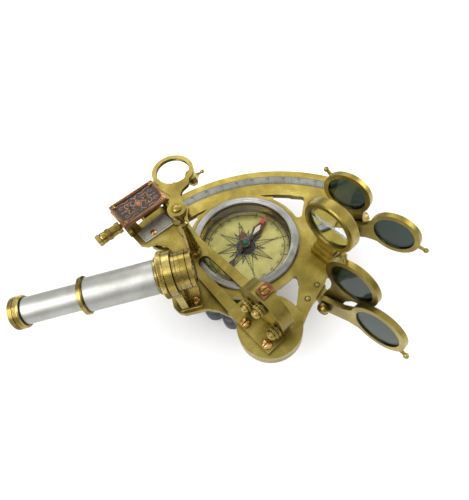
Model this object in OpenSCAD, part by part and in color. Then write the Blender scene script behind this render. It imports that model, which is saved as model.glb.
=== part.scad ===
// Nautical sextant with a compass let into its frame.
// It lies face up on two turned feet and its grip. X runs along the telescope, Z points out of the face.
// Lengths are in millimetres. Plan places are measured from the index pivot, heights from the frame's face.

/* [Frame and limb] */
// Radius of the limb's outer edge
limb_r = 130; // [128:1:132]
// Radius of the limb's inner edge
limb_in = 106.2; // [105:0.1:107]
// Half angle of the limb on the eyepiece side
limb_left = 37.4; // [36:0.1:39]
// Half angle of the limb on the horizon glass side
limb_right = 39.6; // [38:0.1:41]
// Thickness of the frame plate
plate_t = 4; // [3.5:0.1:4.5]
// Radius of the frame's round end under the index mirror
round_end_r = 20.4; // [20:0.1:21]
// Height of the feet below the frame's face
foot_h = 52; // [50:1:54]

/* [Compass] */
// Distance of the compass from the index pivot
compass_y = 67.7; // [67:0.1:68]
// Radius of the compass bowl
bowl_r = 36.6; // [36:0.1:37]
// Depth of the compass bowl behind the frame's face
bowl_h = 19; // [17:1:21]

/* [Telescope] */
// Height of the line of sight above the frame's face
sight_z = 34; // [33:0.5:35]
// Distance of the line of sight from the index pivot
sight_y = 37.1; // [36:0.1:38]
// Outer radius of the main tube
tube_r = 10.5; // [10.3:0.1:10.7]
// Outer radius of the draw tube
draw_r = 8.3; // [8:0.1:8.5]

/* [Index arm] */
// Angle of the index arm from mid limb
arm_angle = 28.9; // [27:0.1:29]
// Distance of the tangent screw from the index pivot
screw_a = 138; // [137.7:0.1:138.3]
// Height of the magnifier plate above the frame's face
lens_z = 54; // [53.5:0.5:56]

/* [Shades and horizon glass] */
// Outer radius of a shade ring
shade_r = 16.4; // [16:0.1:16.8]
// Distance from a shade's pivot to its ring's centre, upper pair then lower pair
shade_l = [28.7, 37.8];
// Angle of each shade above the horizontal
shade_lift = [115, 30.5, 75.5, 31];
// Angle from each shade's own length to its knob
knob_turn = [27, -38, 38, -56];
// Outer radius of the horizon glass ring
horizon_r = 18.8; // [18.4:0.1:19]

/* [Hidden] */
$fn = 64;

// The index pivot stands here in the part's frame: the object is centred over the origin, feet at Z 0
home = [18.5, -53.1, foot_h];
brass = [0.72, 0.62, 0.30];
silver = [0.75, 0.75, 0.72];
copper = [0.80, 0.52, 0.40];
dark = [0.12, 0.13, 0.15];
shade_tint = [0.25, 0.33, 0.31, 0.8];
clear = [0.85, 0.92, 0.90, 0.35];

limb_t = plate_t + 2;
limb_step = 110.8;
scale_r1 = 117;
scale_r2 = 124.4;
scale_t = 0.6;
hub_r = bowl_r + 5.2;
arm_z = 3;
arm_t = 3;
arm_top = arm_z + arm_t;
pin_r = 5;
run = 0.05;
foot_at = [56, 83];
tube_wall = 1.2;
draw_in = draw_r - 1;
tube_end_x = -99.5;
eyepiece_x = -143.7;
front_x = -38;
screw_z = -1.5;
screw_r = 2;
micro_turn = -2.8;
needle_angle = -47.5;
clamp_a = 141.2;
u_pivot = [77, 52.5];
l_pivot = [39.9, 4.8];
shade_turn = [-49.5, -57.5];
shade_z = 5.5;
shade_t = 3.4;
shade_gap = 2.3;
shade_glass_r = 13.2;
shade_pin_r = 1.8;
ear_y = 4.6;
ear_t = 5;
bracket_t = 2.6;
bracket_screws = [[[-19.7, 2.7], [-19.7, -9.8]], [[-14.3, 6.9], [-12.7, -5.3]]];
bracket_edge = [-14.6, -9];
post_at = 74.5;
horizon_at = [48.2, 39.2];
horizon_turn = 29;
horizon_t = 7.5;
horizon_glass_r = horizon_r - 2.4;
cup_r = 18;
cup_a = 6;
cup_z = 19;
cup_floor = arm_top + 2;
cup_t = 9;
lens_t = 2.6;
lens_ring_at = [1.8, 30.3];
plate_screws = [[-21.8, 119.5], [-21.8, 137.5], [10.3, 119.5], [10.3, 137.5]];
holder_screws_y = [-7.9, 10.6];
collar_x = -41.5;
grip_rivet_x = 15;
post_a = [1, 22.5];
post_b = [-43, 64.5];
grip_at = [-21.9, 43.6];
grip_turn = 137.5;
grip_z1 = -35;
grip_z2 = -foot_h + 1;

// ---- shared shapes ----

// A unit direction on the face, counted from mid limb towards the eyepiece
function face_dir(a) = [-sin(a), cos(a)];

// Moves its children from the pivot's own place to the part's frame
module at_home() translate(home) children();

// Places children in the index arm's axes: X across the arm, Y along it
module on_arm() at_home() rotate([0, 0, arm_angle]) children();

// Places children on the micrometer's own axes, which lean a little from the arm's
module on_micro() on_arm() translate([0, screw_a, 0]) rotate([0, 0, micro_turn])
    translate([0, -screw_a, 0]) children();

module ring(r1, r2, h) {
    difference() {
        cylinder(r = r2, h = h);
        translate([0, 0, -1]) cylinder(r = r1, h = h + 2);
    }
}

module wedge_2d(a1, a2, r)
    polygon(concat([[0, 0]], [for (i = [0:8]) r * face_dir(a1 + (a2 - a1) * i / 8)]));

module arc_band(r1, r2, a1, a2, h) {
    linear_extrude(h) intersection() {
        difference() {
            circle(r = r2, $fn = 128);
            circle(r = r1, $fn = 128);
        }
        wedge_2d(a1, a2, 2 * r2);
    }
}

// A turned piece standing on Z 0 from radius and height pairs, starting and ending on the axis
module turned(points) rotate_extrude() polygon(points);

// A slotted screw: the head stands on Z 0, the shank goes below
module slot_screw(r, h, shank_r, shank_h) {
    difference() {
        turned([[0, 0], [r, 0], [r, h * 0.45], [r * 0.75, h * 0.85], [r * 0.3, h], [0, h]]);
        translate([0, 0, h]) cube([2.4 * r, r * 0.28, h], center = true);
    }
    if (shank_h > 0) translate([0, 0, -shank_h]) cylinder(r = shank_r, h = shank_h);
}

// A knurled thumb screw with a ball end
module thumb_screw(r, h, ball_r, shank_r, shank_h) {
    turned([[0, 0], [r, 0], [r, h * 0.42], [r * 0.9, h * 0.5], [r, h * 0.58], [r, h], [r * 0.6, h + 0.6],
        [0, h + 0.6]]);
    translate([0, 0, h + ball_r * 0.8]) sphere(r = ball_r);
    if (shank_h > 0) translate([0, 0, -shank_h]) cylinder(r = shank_r, h = shank_h);
}

// ---- frame ----

right_edge = [[70.9, 85], [69.2, 81.4], [65, 80.5], [72.5, 70.2], [55.3, 49.5], [62.5, 37.3], [59.4, 29.2],
    [51.9, 23.3], [46.1, 24.8], [43.7, 21.3], [28, 6], [19, -5]];
left_edge = [[-18, -6], [-20, 9], [-22, 14.5], [-29.4, 20.8], [-36, 24], [-50.7, 24.4], [-54.5, 26.5],
    [-57.4, 30.5], [-58, 37.6], [-54.5, 47], [-51.5, 64], [-56.7, 74.5], [-70, 87]];

module window_side_2d(side) {
    offset(r = 2.6) offset(delta = -2.6) mirror([side < 0 ? 1 : 0, 0]) difference() {
        intersection() {
            circle(r = limb_in, $fn = 160);
            polygon([[12, 110], [52.6, 92.3], [42, 69.5], [30, 60]]);
        }
        translate([0, compass_y]) circle(r = hub_r, $fn = 160);
    }
}

module window_low_2d(side) {
    offset(r = 2) offset(delta = -2) difference() {
        polygon(side > 0 ? [[6.5, 20.5], [27.5, 38], [26.4, 24], [19.6, 8.5]]
            : [[-6.5, 20.5], [-24, 36], [-22.5, 28], [-18, 21.2], [-12.5, 16.5]]);
        translate([0, compass_y]) circle(r = hub_r + 2.2, $fn = 160);
    }
}

module web_2d() {
    offset(r = 1.6) offset(delta = -1.6) union() {
        polygon(concat([[0, 108], [60, 92]], right_edge, [[0, -5]], left_edge, [[-60, 92]]));
        translate([0, compass_y]) circle(r = hub_r, $fn = 160);
        circle(r = round_end_r, $fn = 160);
    }
}

module frame_plate() color(brass) at_home() {
    difference() {
        union() {
            translate([0, 0, -limb_t])
                arc_band(limb_step, limb_r, -limb_right, limb_left, limb_t);
            translate([0, 0, -plate_t])
                arc_band(limb_in, limb_step + 1, -limb_right, limb_left, plate_t);
            translate([0, 0, -plate_t]) linear_extrude(plate_t) difference() {
                intersection() {
                    web_2d();
                    circle(r = limb_in + 1, $fn = 160);
                }
                for (side = [1, -1]) {
                    window_side_2d(side);
                    window_low_2d(side);
                }
            }
        }
        translate([0, 0, -scale_t])
            arc_band(scale_r1, scale_r2, -limb_right - 1, limb_left + 1, 2);
        translate([0, compass_y, -plate_t - 1]) cylinder(r = bowl_r + 0.1, h = plate_t + 2);
        translate([0, 0, -plate_t - 1]) cylinder(r = pin_r + run, h = plate_t + 2);
        for (s = [1, -1])
            translate([s * foot_at[0], foot_at[1], -plate_t - 1]) cylinder(r = 2.1, h = plate_t + 2);
    }
}

module scale_arc() color(silver) at_home()
    translate([0, 0, -scale_t]) arc_band(scale_r1 + 0.05, scale_r2 - 0.05, -limb_right + 1, limb_left - 1,
        scale_t + 0.1);

// ---- compass ----

module in_compass() at_home() translate([0, compass_y, 0]) children();

module compass_bowl() color(silver) in_compass() difference() {
    translate([0, 0, -bowl_h]) cylinder(r = bowl_r, h = bowl_h);
    translate([0, 0, -9]) cylinder(r = bowl_r - 3.2, h = 10);
    translate([0, 0, -bowl_h - 1]) cylinder(r = bowl_r - 5, h = bowl_h - 11 + 1);
}

module compass_bezel() color(silver) in_compass()
    rotate_extrude() polygon([[bowl_r - 2.2, 0], [bowl_r + 2, 0], [bowl_r + 2, 1.3], [bowl_r + 1.2, 2.1],
        [bowl_r - 2.4, 2.4], [bowl_r - 3.6, 1.9], [bowl_r - 3.6, 1.3], [bowl_r - 2.2, 1.3]]);

module compass_dial() color([0.66, 0.60, 0.33]) in_compass()
    translate([0, 0, -9]) difference() {
        cylinder(r = bowl_r - 3.4, h = 0.8);
        translate([0, 0, 0.5]) ring(7, 7.4, 1);
    }

module compass_glass() color(clear) in_compass() cylinder(r = bowl_r - 2.4, h = 1.2);

module compass_pivot() color(brass) in_compass() translate([0, 0, -8.2])
    turned([[0, 0], [4, 0], [3.2, 0.9], [1, 1.2], [0.7, 3], [0, 3.6]]);

module compass_needle() color(dark) in_compass() translate([0, 0, -5.9]) rotate([0, 0, needle_angle]) {
    difference() {
        union() {
            cylinder(r = 3.6, h = 2.2);
            translate([0, 0, 2.2]) turned([[0, 0], [3.3, 0], [3.3, 0.8], [2.6, 1.4], [0, 1.6]]);
            linear_extrude(0.7) difference() {
                union() {
                    polygon([[-1, 0], [-1, 8], [-3.4, 16], [-1.2, 22], [-2, 24], [0, 28], [2, 24], [1.2, 22],
                        [3.4, 16], [1, 8], [1, 0]]);
                    polygon([[-1.2, 0], [-0.5, -14], [-2.2, -19], [0, -26], [2.2, -19], [0.5, -14],
                        [1.2, 0]]);
                }
                polygon([[0, 9.5], [-2, 16], [0, 21], [2, 16]]);
            }
        }
        translate([0, 0, -1]) cylinder(r = 1.5, h = 2.8);
    }
}

module compass_back_plate() color([0.70, 0.64, 0.34]) in_compass()
    translate([0, 0, -bowl_h]) difference() {
        cylinder(r = bowl_r - 5.1, h = 1.5);
        translate([0, 0, -1]) cylinder(r = 1, h = 3);
    }

// ---- feet, cap and pivot ----

module foot() {
    body_h = foot_h - plate_t;
    k = body_h / 48;
    mirror([0, 0, 1]) translate([0, 0, plate_t])
        turned([[0, 0], [5, 0], [5, 2 * k], [3.4, 3 * k], [3, 9 * k], [4, 11 * k], [4, 13 * k], [2.8, 15 * k],
            [2.8, 24 * k], [3.8, 26 * k], [3.8, 28 * k], [2.9, 30 * k], [3.2, 36 * k], [4.4, 38 * k],
            [4.4, 39.5 * k], [3.1, 40.5 * k], [4.6, 43 * k], [5, 45 * k], [4.3, 47 * k], [2.8, body_h],
            [0, body_h]]);
    translate([0, 0, -plate_t - 0.5]) cylinder(r = 2, h = plate_t + 0.5);
    turned([[0, 0], [4.2, 0], [4, 1], [2.6, 2], [0, 2.4]]);
}

module feet() color(brass) at_home()
    for (s = [1, -1]) translate([s * foot_at[0], foot_at[1], 0]) foot();

module pivot_cap() color(copper) at_home() mirror([0, 0, 1]) translate([0, 0, plate_t]) difference() {
    turned([[0, 0], [15, 0], [15, 2.4], [14, 3.4], [11.6, 3.6], [11.2, 4.3], [9.2, 4.4], [8.8, 3.9],
        [0, 3.9]]);
    translate([0, 0, -1]) cylinder(r = 9, h = 3.2);
}

module pivot_pin() color(brass) at_home() {
    translate([0, 0, -plate_t - 2]) cylinder(r = 8, h = 1.9);
    translate([0, 0, -plate_t - 0.1]) cylinder(r = pin_r, h = plate_t + arm_top - 0.1);
}

// ---- telescope ----

// Places children on the line of sight: Z runs along the part's X
module on_sight(x) at_home() translate([x, sight_y, sight_z]) rotate([0, 90, 0]) children();

module main_tube() color(silver) on_sight(tube_end_x)
    ring(tube_r - tube_wall, tube_r, front_x - tube_end_x);

module tube_end_ring() color(brass) on_sight(tube_end_x - 3) difference() {
    turned([[0, 0], [tube_r + 0.4, 0], [tube_r + 1.3, 0.6], [tube_r + 1.3, 2.4], [tube_r + 0.4, 3],
        [0, 3]]);
    translate([0, 0, -1]) cylinder(r = draw_r + run, h = 6);
}

module flange_ring() color(brass) on_sight(-55.2) difference() {
    turned([[0, 0], [13.6, 0], [14.4, 0.6], [14.4, 3.1], [13.6, 3.7], [0, 3.7]]);
    translate([0, 0, -1]) cylinder(r = tube_r + run, h = 6);
}

module objective_cell() color(brass) on_sight(front_x - 3) difference() {
    turned([[0, 0], [11.8, 0], [11.8, 2.4], [11.3, 2.7], [11.8, 3], [11.8, 5.4], [11.2, 5.9], [0, 5.9]]);
    translate([0, 0, -1]) cylinder(r = tube_r + run, h = 4);
    translate([0, 0, 2]) cylinder(r = tube_r - tube_wall, h = 6);
}

module objective_lens() color(clear) on_sight(front_x - 0.6)
    turned([[0, 0], [tube_r - tube_wall - 0.05, 0.3], [tube_r - tube_wall - 0.05, 2.2], [5, 3], [0, 3.3]]);

module draw_tube() color(silver) on_sight(eyepiece_x + 6.2)
    ring(draw_in, draw_r, 61);

module eyepiece_ring() color(brass) on_sight(eyepiece_x) difference() {
    turned([[0, 0], [8.6, 0], [9.9, 1], [9.9, 3.4], [9.2, 3.7], [9.9, 4], [9.9, 6.4], [9.3, 7], [0, 7]]);
    translate([0, 0, -1]) cylinder(r = 5, h = 4);
    translate([0, 0, 2]) cylinder(r = draw_in, h = 6);
    translate([0, 0, 6.2]) cylinder(r = draw_r + 0.02, h = 2);
}

module eyepiece_lens() color(clear) on_sight(eyepiece_x + 2.1)
    turned([[0, 0], [draw_in - 0.05, 0.3], [draw_in - 0.05, 2], [3, 2.9], [0, 3]]);

// The collar that holds the telescope, its upright and its foot on the frame
module collar_bracket() color(brass) {
    on_sight(-51.4) ring(tube_r + run, 13.8, 4.4);
    at_home() {
        difference() {
            translate([-51.4, sight_y - 11, 0]) cube([4.4, 23, sight_z - 8]);
            translate([-52, sight_y, sight_z]) rotate([0, 90, 0]) cylinder(r = 13.2, h = 6);
            translate([-52, sight_y, 10]) rotate([0, 90, 0]) cylinder(r = 5, h = 6);
        }
        difference() {
            linear_extrude(3.6) polygon([[-54.5, sight_y - 9], [-52.5, sight_y - 11.5],
                [-38.5, sight_y - 11.5], [-38.5, sight_y + 5], [-43, sight_y + 13], [-54.5, sight_y + 13]]);
            for (s = [1, -1])
                translate([collar_x, sight_y + 7 * s, -1]) cylinder(r = 1.6, h = 6);
        }
    }
}

// ---- horizon glass ----

// Places children on the horizon ring's axis: Z points away from the eye, Y is up the part
module on_horizon() at_home() translate([horizon_at[0], horizon_at[1], sight_z])
    rotate([0, 0, horizon_turn]) rotate([90, 0, 90]) children();

module horizon_ring() color(brass) on_horizon() difference() {
    turned([[0, 0], [horizon_r - 0.8, 0], [horizon_r, 0.8], [horizon_r, horizon_t - 0.8],
        [horizon_r - 0.8, horizon_t], [0, horizon_t]]);
    translate([0, 0, -1]) cylinder(r = horizon_glass_r - 1, h = horizon_t + 2);
    translate([0, 0, 1.8]) cylinder(r = horizon_glass_r, h = horizon_t);
}

module half_disc(r, h, side) intersection() {
    cylinder(r = r, h = h);
    translate([-r - 1, side > 0 ? 0.04 : -r - 1, -1]) cube([2 * r + 2, r + 0.96, h + 2]);
}

module horizon_glass() color(clear) on_horizon() translate([0, 0, 1.9])
    half_disc(horizon_glass_r - 0.05, 2, 1);

module horizon_mirror() color([0.85, 0.88, 0.88]) on_horizon() translate([0, 0, 1.9])
    half_disc(horizon_glass_r - 0.05, 2, -1);

module horizon_base() color(brass) at_home()
    translate([horizon_at[0], horizon_at[1], 0]) rotate([0, 0, horizon_turn]) {
        top = sight_z - horizon_r;
        translate([-2.2, -9, 0]) cube([12, 18, 5]);
        translate([-1, -8, 5]) cube([9.6, 16, 5]);
        difference() {
            translate([0.4, -7, 10]) cube([6.8, 14, top - 5]);
            translate([-1, 0, sight_z]) rotate([0, 90, 0]) cylinder(r = horizon_r + 0.03, h = 12);
        }
    }

// ---- shade brackets ----

// Places children on a shade bracket, 0 the upper and 1 the lower: X along the shades, Y along their pin
module on_pivot(k) {
    p = k == 0 ? u_pivot : l_pivot;
    at_home() translate([p[0], p[1], 0]) rotate([0, 0, shade_turn[k]]) children();
}

// One ear behind the shades, on a two-lobed foot that is screwed to the back of the frame
module shade_bracket(k) {
    foot_z = -plate_t - bracket_t;
    screws = bracket_screws[k];
    difference() {
        union() {
            translate([-4.5, ear_y, foot_z]) cube([9, ear_t, shade_z - foot_z]);
            translate([0, ear_y + ear_t, shade_z]) rotate([90, 0, 0]) cylinder(r = 4.5, h = ear_t);
        }
        translate([0, ear_y + ear_t + 1, shade_z]) rotate([90, 0, 0])
            cylinder(r = shade_pin_r + run, h = ear_t + 2);
    }
    translate([0, 0, foot_z]) difference() {
        linear_extrude(bracket_t) {
            intersection() {
                hull() for (p = screws) translate(p) circle(r = 5.4);
                translate([-40 + bracket_edge[k], -20]) square([40, 40]);
            }
            polygon([[screws[0][0], ear_y + ear_t], [-4.4, ear_y + ear_t], [-4.4, ear_y], [bracket_edge[k], 0],
                [screws[0][0], 0]]);
        }
        for (p = screws) translate([p[0], p[1], -1]) cylinder(r = 1.6, h = 5);
    }
}

module upper_shade_bracket() color(brass) on_pivot(0) shade_bracket(0);
module lower_shade_bracket() color(brass) on_pivot(1) shade_bracket(1);

module shade_pivot_pins() color(brass)
    for (k = [0, 1]) on_pivot(k) translate([0, 0, shade_z]) {
        translate([0, ear_y + ear_t + 3, 0]) rotate([90, 0, 0]) cylinder(r = shade_pin_r, h = 17.4);
        translate([0, -4.8, 0]) rotate([90, 0, 0]) slot_screw(4.1, 4.4, 1, 0);
        translate([0, ear_y + ear_t + 2.3, 0]) rotate([90, 0, 0]) cylinder(r = 3.1, h = 2.25, $fn = 6);
        translate([4.55, ear_y + ear_t / 2, -3]) rotate([0, 90, 0]) slot_screw(2.2, 1.8, 1, 0);
    }

// Slotted screws that hold the shade brackets, the collar's foot and the horizon base
module frame_screws() color([0.80, 0.60, 0.32]) {
    for (k = [0, 1], p = bracket_screws[k]) on_pivot(k)
        translate([p[0], p[1], -plate_t - bracket_t]) mirror([0, 0, 1]) slot_screw(3.6, 2.4, 1.5, 2.4);
    at_home() for (p = [[46.8, 43.7], [51.2, 35]])
        translate([p[0], p[1], -plate_t]) mirror([0, 0, 1]) slot_screw(3.4, 2.2, 1, 0);
    at_home() for (s = [1, -1])
        translate([collar_x, sight_y + 7 * s, 3.6]) slot_screw(2.4, 1.6, 1.4, 3.4);
}

// ---- shades ----

module on_shade(i) {
    s = i % 2 == 0 ? 1 : -1;
    on_pivot(i < 2 ? 0 : 1) translate([0, s * shade_gap, shade_z]) rotate([90, 0, 0])
        rotate([0, 0, shade_lift[i]]) children();
}

module shade_frame(i) color(brass) on_shade(i) {
    reach = shade_l[i < 2 ? 0 : 1];
    difference() {
        union() {
            translate([reach, 0, -shade_t / 2]) cylinder(r = shade_r, h = shade_t);
            translate([0, 0, -shade_t / 2]) cylinder(r = 6, h = shade_t);
            translate([0, 0, -shade_t / 2]) linear_extrude(shade_t)
                polygon([[0, -6], [0, 6], [reach - 22, 5.7], [reach - 16, 7.4], [reach - 12, 9.8],
                    [reach - 7, 12.6], [reach - 7, -12.6], [reach - 12, -9.8], [reach - 16, -7.4],
                    [reach - 22, -5.7]]);
        }
        translate([reach, 0, -shade_t]) cylinder(r = shade_glass_r - 0.9, h = 2 * shade_t);
        translate([reach, 0, -shade_t / 2 + 0.8]) cylinder(r = shade_glass_r, h = 2 * shade_t);
        translate([0, 0, -shade_t]) cylinder(r = shade_pin_r + run, h = 2 * shade_t);
    }
    translate([reach, 0, 0]) rotate([0, 0, knob_turn[i]]) translate([shade_r - 0.4, 0, 0]) rotate([0, 90, 0])
        turned([[0, 0], [1.6, 0], [1.2, 1], [1.1, 3.8], [1.6, 4.6], [1.7, 5.4], [1.1, 6.5], [0, 6.8]]);
}

module shade_glass(i) color(shade_tint) on_shade(i)
    translate([shade_l[i < 2 ? 0 : 1], 0, -shade_t / 2 + 0.85]) cylinder(r = shade_glass_r - 0.05, h = 1.6);

module shade_frame_1() shade_frame(0);
module shade_frame_2() shade_frame(1);
module shade_frame_3() shade_frame(2);
module shade_frame_4() shade_frame(3);
module shade_glass_1() shade_glass(0);
module shade_glass_2() shade_glass(1);
module shade_glass_3() shade_glass(2);
module shade_glass_4() shade_glass(3);

// ---- handle ----

module on_grip(z) at_home() translate([grip_at[0], grip_at[1], z]) rotate([0, 0, grip_turn]) children();

module handle_grip() color(dark) on_grip(grip_z2) difference() {
    linear_extrude(grip_z1 - grip_z2) difference() {
        union() {
            translate([-34, -12.5]) square([68, 25]);
            for (x = [-24, -8, 8, 24]) translate([x, 11]) circle(r = 7);
            for (x = [-14, 20]) translate([x, -6]) circle(r = 10.5);
        }
        for (x = [-16, 0, 16]) translate([x, 18.5]) circle(r = 3.5);
        for (x = [-33, 3]) translate([x, -17.5]) circle(r = 6);
    }
    for (x = [-28, 30]) translate([x, -2, -1]) cylinder(r = 1.4, h = 6);
}

module handle_posts() color(brass) at_home() {
    h = -grip_z1 - plate_t;
    for (p = [post_a, post_b]) translate([p[0], p[1], grip_z1])
        turned([[0, 0], [4.6, 0], [4.6, h * 0.28], [3.4, h * 0.34], [3.2, h * 0.7], [4.4, h * 0.78], [4.4, h],
            [0, h]]);
    translate([post_b[0], post_b[1], grip_z1 + 12]) rotate([0, 0, grip_turn]) rotate([0, 90, 0])
        translate([0, 0, 3]) turned([[0, 0], [2.6, 0], [2.6, 3], [4, 3.6], [4, 6.4], [1.4, 8], [1.4, 11],
            [2.1, 11.8], [2.4, 12.8], [1.8, 14], [0, 14.4]]);
}

module handle_plate() color(copper) on_grip(-foot_h) {
    linear_extrude(1) difference() {
        translate([0, -85]) intersection() {
            difference() {
                circle(r = 95, $fn = 160);
                circle(r = 76, $fn = 160);
            }
            polygon([[0, 0], [-26, 110], [26, 110]]);
        }
        for (x = [-1, 1]) translate([x * grip_rivet_x, 0]) circle(r = 1.4);
    }
    for (x = [-1, 1]) translate([x * grip_rivet_x, 0, 0.2]) cylinder(r = 1.35, h = 0.8);
}

// ---- index arm ----

module index_arm() color(brass) on_arm() difference() {
    union() {
        translate([0, 0, 0.4]) cylinder(r = round_end_r, h = arm_top - 0.4);
        translate([0, 0, arm_z]) linear_extrude(arm_t) difference() {
            polygon([[-13, 8], [13, 8], [10, 78], [12, 96], [16, 104], [21, 108], [21, 150.5], [-21, 153],
                [-24, 150], [-24, 108], [-21, 104], [-15, 101], [-11, 94], [-10, 78]]);
            translate([-15, 118]) square([27, 24]);
            polygon([[-5, 26], [5, 26], [4.6, 63.5], [-4.6, 63.5]]);
            translate([0, 63.5]) circle(r = 4.6);
            translate([0, 26]) circle(r = 5);
        }
    }
    cylinder(r = pin_r + run, h = 20, center = true);
    for (p = [[-11, 109], [3, 109]]) translate([p[0], p[1], 0]) cylinder(r = 1.1, h = 10);
}

module vernier_plate() color(silver) on_arm() translate([0, 0, arm_top]) difference() {
    linear_extrude(0.9) polygon([[-20, 106], [3.3, 104.5], [4.7, 109], [4.7, 116.5], [-20, 117]]);
    translate([-11, 109, -1]) cylinder(r = 1.1, h = 3);
}

module arm_tab() color(brass) on_arm() translate([0, 0, arm_top]) linear_extrude(1.4)
    polygon([[5, 117], [5, 108], [3.5, 104], [5.5, 101], [3, 97], [2, 92], [5, 86.5], [8.6, 90], [8.2, 95],
        [11, 98], [11.5, 104], [10, 108], [10.5, 113]]);

module arm_screws() color([0.82, 0.66, 0.40]) {
    on_arm() translate([-11, 109, arm_top + 0.9]) slot_screw(2.3, 1.5, 1, 3);
    on_micro() for (p = plate_screws)
        translate([p[0], p[1], 20.05]) slot_screw(1.6, 1.1, 0.8, 1.9);
}

module micrometer_yoke() color(brass) on_micro() difference() {
    union() {
        translate([-22, 134, -11]) cube([44, 19, 11 + arm_z - 0.02]);
        for (s = [1, -1]) {
            translate([s * 18.2 - 3.8, 129, -11]) cube([7.6, 6, 4.4]);
            translate([s * 18.2, 129, -11]) cylinder(r = 3.8, h = 4.4);
        }
    }
    translate([-14.4, 120, -20]) cube([28.8, 27.5, 40]);
    translate([-40, screw_a, screw_z]) rotate([0, 90, 0]) cylinder(r = 3.05, h = 80);
}

module plate_bridge() color(brass) on_micro() difference() {
    for (x = [-23.3, 10.3]) {
        translate([x, 117, arm_top]) cube([2.6, 23, 12]);
        translate([x - 0.8, 117, arm_top]) cube([4, 23, 1.6]);
    }
    for (x = [-30, 5]) translate([x, 117, 12.5]) rotate([0, 90, 0]) cylinder(r = 4, h = 12);
    for (p = plate_screws) translate([p[0], p[1], 17]) cylinder(r = 0.9, h = 3);
}

module name_plate() color(copper) on_micro() translate([0, 0, arm_top + 12]) difference() {
    union() {
        translate([-24.5, 116.2, 0]) cube([37.4, 24.2, 1.2]);
        difference() {
            translate([-24.5, 116.2, 0]) cube([37.4, 24.2, 2]);
            translate([-22.1, 118.6, 1.2]) cube([32.6, 19.4, 2]);
        }
        for (p = plate_screws) translate([p[0], p[1], 0]) cylinder(r = 2, h = 2);
    }
    for (p = plate_screws) translate([p[0], p[1], -1]) cylinder(r = 0.9, h = 4);
}

module tangent_screw() color(brass) on_micro() translate([0, screw_a, screw_z]) rotate([0, 90, 0]) {
    translate([0, 0, -30]) cylinder(r = screw_r, h = 75);
    translate([0, 0, -22]) cylinder(r = 3, h = 7.4);
    translate([0, 0, 14.6]) cylinder(r = 3, h = 7.4);
    translate([0, 0, -45.2]) turned([[0, 0], [4.2, 0], [4.8, 0.8], [4.8, 3.1], [4.2, 3.6], [4.6, 4.5], [4.2, 8],
        [4.8, 8.9], [4.8, 11.4], [4.1, 12], [4.1, 16.6], [4.8, 17.2], [4.8, 19.8], [4.4, 20.5], [0, 20.5]]);
    translate([0, 0, 22.7]) turned([[0, 0], [4.4, 0], [5, 1], [5, 2.6], [4.2, 3], [4.2, 5], [5.2, 5.6],
        [5.2, 7.4], [3.4, 8.4], [2, 8.8], [2, 17], [3, 17.6], [0, 18]]);
    translate([0, 0, 39.6]) cylinder(r1 = 4, r2 = 6.6, h = 2.6, $fn = 8);
    translate([0, 0, 42.2]) cylinder(r = 6.6, h = 3.4, $fn = 8);
    translate([0, 0, 45.6]) cylinder(r1 = 6.6, r2 = 3, h = 3, $fn = 8);
    translate([0, 0, 48.6]) turned([[0, 0], [2.6, 0], [1.2, 2], [1, 4.4], [1.6, 5.2], [1.6, 6.6], [0.9, 7.4],
        [0, 7.6]]);
}

// The block that clamps to the limb; the tangent screw pushes against it
module clamp_block() color(brass) on_micro() difference() {
    union() {
        translate([-6.5, 133.8, -9.6]) cube([13, 10.4, 12.4]);
        translate([-6.5, 124, -11]) cube([13, 20.2, 4.2]);
        translate([-6.5, 121, -11]) cube([13, 4, 2.4]);
        translate([7.4, 133.8, -9.4]) cube([2.4, 11, 11.8]);
        translate([6.4, 136, -9.4]) cube([1.2, 4, 3]);
    }
    translate([-20, screw_a, screw_z]) rotate([0, 90, 0]) cylinder(r = screw_r + run, h = 40);
    translate([0, clamp_a, -12]) cylinder(r = 1.7, h = 5);
}

module clamp_screw() color(brass) on_micro() translate([0, clamp_a, -11.2]) mirror([0, 0, 1]) {
    thumb_screw(7.2, 2.8, 2.2, 1.65, 3);
    translate([0, 0, 2.8]) turned([[0, 0], [3.6, 0], [3.4, 1.4], [2, 2], [0, 2]]);
}

module magnifier_post() color(brass) on_arm() translate([0, post_at, arm_top]) {
    h = lens_z - arm_top;
    turned([[0, 0], [4.6, 0], [4.8, 1], [4.8, 4], [4.2, 5], [4.6, 6.4], [4.2, 8], [3.4, h * 0.36],
        [2.3, h * 0.62], [2, h * 0.68], [3.2, h * 0.71], [3.2, h * 0.75], [2, h * 0.78], [2.6, h * 0.88],
        [4.4, h * 0.93], [4.4, h - 0.1], [1.9, h - 0.1], [1.9, h + lens_t], [0, h + lens_t]]);
    translate([0, 0, h + lens_t]) turned([[0, 0.05], [3, 0.05], [2.8, 0.8], [1.6, 1.3], [0, 1.4]]);
}

module on_lens() on_arm() translate([0, post_at, lens_z]) rotate([0, 0, -arm_angle]) children();

module magnifier_frame() color(brass) on_lens() difference() {
    union() {
        cylinder(r = 5.6, h = lens_t);
        translate([lens_ring_at[0], lens_ring_at[1], 0]) cylinder(r = 13.2, h = lens_t);
        rotate([0, 0, -atan(lens_ring_at[0] / lens_ring_at[1])]) linear_extrude(lens_t)
            polygon([[-5.4, 1], [-3.4, 6], [-3.1, 10], [-4.6, 13.5], [-8.6, 17], [-9.6, 20], [-7, 25], [7, 25],
                [9.6, 20], [8.6, 17], [4.6, 13.5], [3.1, 10], [3.4, 6], [5.4, 1]]);
    }
    translate([lens_ring_at[0], lens_ring_at[1], -1]) cylinder(r = 10.4, h = 6);
    translate([lens_ring_at[0], lens_ring_at[1], 0.6]) cylinder(r = 11, h = 1.6);
    translate([0, 0, -1]) cylinder(r = 1.9 + run, h = 6);
}

module magnifier_lens() color(clear) on_lens() translate([lens_ring_at[0], lens_ring_at[1], 0.65])
    cylinder(r = 10.95, h = 1.5);

// ---- index mirror ----

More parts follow.
